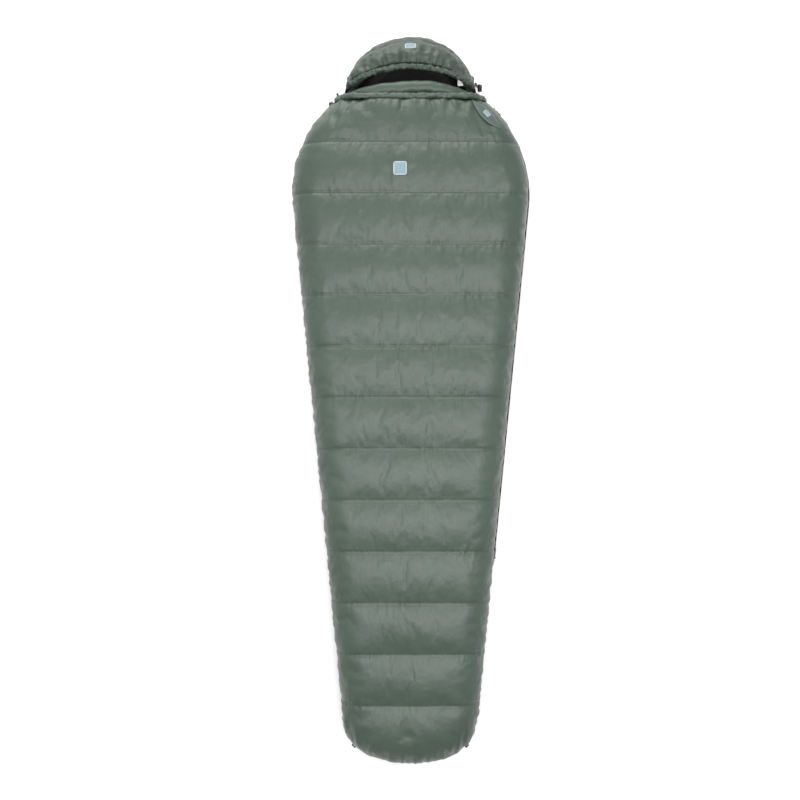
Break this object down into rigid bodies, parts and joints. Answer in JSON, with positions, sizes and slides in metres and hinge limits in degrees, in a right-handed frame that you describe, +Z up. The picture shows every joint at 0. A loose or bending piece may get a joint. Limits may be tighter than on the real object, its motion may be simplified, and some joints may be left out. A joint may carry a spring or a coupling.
{
  "type": "mummy sleeping bag",
  "caption": "Mummy sleeping bag, zipped shut and lying flat, with hood, neck drawcord, side zip with a fold-back corner and quilted shell.",
  "frame": {"origin": "on the ground under the middle of the closed bag", "axes": "+Y towards the hood, +X towards the zipped side, +Z up from the ground"},
  "size_m": [0.7206, 2.2, 0.1933],
  "materials": {
    "shell_fabric": "grey-green satin-faced nylon",
    "filling": "white loose filling",
    "lining_fabric": "black soft nylon",
    "black_tape": "woven tape",
    "zip_coil": "moulded coil",
    "zip_metal": "black lacquer",
    "tab_fabric": "grey-green nylon, piped edge",
    "hook_and_loop": "napped",
    "badge": "embroidered patch",
    "white_label": "printed satin label, left plain",
    "cord": "braided elastic cord",
    "lock_body": "moulded",
    "lock_button": "moulded",
    "spring_steel": "bright wire"
  },
  "bodies": {
    "bag": {"lower_shell": "shell_fabric", "lower_batt": "filling", "lower_lining": "lining_fabric", "upper_shell": "shell_fabric", "upper_batt": "filling", "upper_lining": "lining_fabric", "hood_shell": "shell_fabric", "hood_batt": "filling", "hood_lining": "lining_fabric", "lower_zip_tape": "black_tape", "lower_zip_coil": "zip_coil", "upper_zip_tape": "black_tape", "upper_zip_coil": "zip_coil", "upper_end_stop": "zip_coil", "foot_end_stop": "zip_coil", "draft_tube": "lining_fabric", "side_piping": "black_tape", "collar_end": "shell_fabric", "brim_channel": "shell_fabric", "chest_badge": "badge", "hood_badge": "badge", "care_label": "white_label", "left_hang_loop": "black_tape", "right_hang_loop": "black_tape", "collar_cord": "cord", "hood_cord": "cord", "collar_knot": "cord", "hood_knot": "cord", "hood_eyelet": "zip_metal"},
    "corner": {"corner_shell": "shell_fabric", "corner_batt": "filling", "corner_lining": "lining_fabric", "corner_zip_tape": "black_tape", "corner_zip_coil": "zip_coil", "corner_zip_stop": "zip_coil", "collar_channel": "shell_fabric", "collar_roll": "shell_fabric", "tab_loops": "hook_and_loop"},
    "tab": {"zip_tab": "tab_fabric", "tab_hooks": "hook_and_loop"},
    "upper_slider": {"upper_slider": "zip_metal"},
    "upper_pull": {"upper_pull": "zip_metal"},
    "lower_slider": {"lower_slider": "zip_metal"},
    "lower_pull": {"lower_pull": "zip_metal"},
    "collar_lock": {"collar_lock_barrel": "lock_body", "collar_lock_spring": "spring_steel"},
    "collar_button": {"collar_lock_button": "lock_button"},
    "hood_lock": {"hood_lock_barrel": "lock_body", "hood_lock_spring": "spring_steel"},
    "hood_button": {"hood_lock_button": "lock_button"}
  },
  "joints": [
    {"name": "corner_fold", "type": "hinge", "parent": "bag", "child": "corner", "pos_m": [-0.15, 0.899, 0.192], "axis": [0.8582, -0.5134, 0], "range_deg": [0, 150]},
    {"name": "upper_slider_run", "type": "hinge", "parent": "bag", "child": "upper_slider", "pos_m": [0, 0.63, 0.089], "axis": [0, 0, 1], "range_deg": [-48.7, 0]},
    {"name": "upper_pull_swing", "type": "hinge", "parent": "upper_slider", "child": "upper_pull", "pos_m": [0.25587, 0.89128, 0.089], "axis": [0, 0, 1], "range_deg": [0, 150]},
    {"name": "lower_slider_run", "type": "slide", "parent": "bag", "child": "lower_slider", "axis": [0.0974, 0.9952, 0], "range_m": [0, 1]},
    {"name": "lower_pull_swing", "type": "hinge", "parent": "lower_slider", "child": "lower_pull", "pos_m": [0.25848, -0.48356, 0.089], "axis": [0, 0, -1], "range_deg": [0, 150]},
    {"name": "tab_lift", "type": "hinge", "parent": "corner", "child": "tab", "pos_m": [0.21322, 0.83953, 0.19229], "axis": [0.7009, -0.7133, 0], "range_deg": [0, 120]},
    {"name": "collar_lock_slide", "type": "slide", "parent": "bag", "child": "collar_lock", "axis": [0, 0, 1], "range_m": [-0.013, 0.009]},
    {"name": "collar_button_press", "type": "slide", "parent": "collar_lock", "child": "collar_button", "axis": [0, -1, 0], "range_m": [0, 0.0035], "stiffness_N_per_m": 400, "deforming": ["collar_lock_spring"]},
    {"name": "hood_lock_slide", "type": "slide", "parent": "bag", "child": "hood_lock", "axis": [0, 0, 1], "range_m": [-0.014, 0.014]},
    {"name": "hood_button_press", "type": "slide", "parent": "hood_lock", "child": "hood_button", "axis": [0, -1, 0], "range_m": [0, 0.0035], "stiffness_N_per_m": 400, "deforming": ["hood_lock_spring"]}
  ],
  "couplings": [
    {"joint": "upper_slider_run", "follows": "corner_fold", "ratio": -0.324}
  ]
}
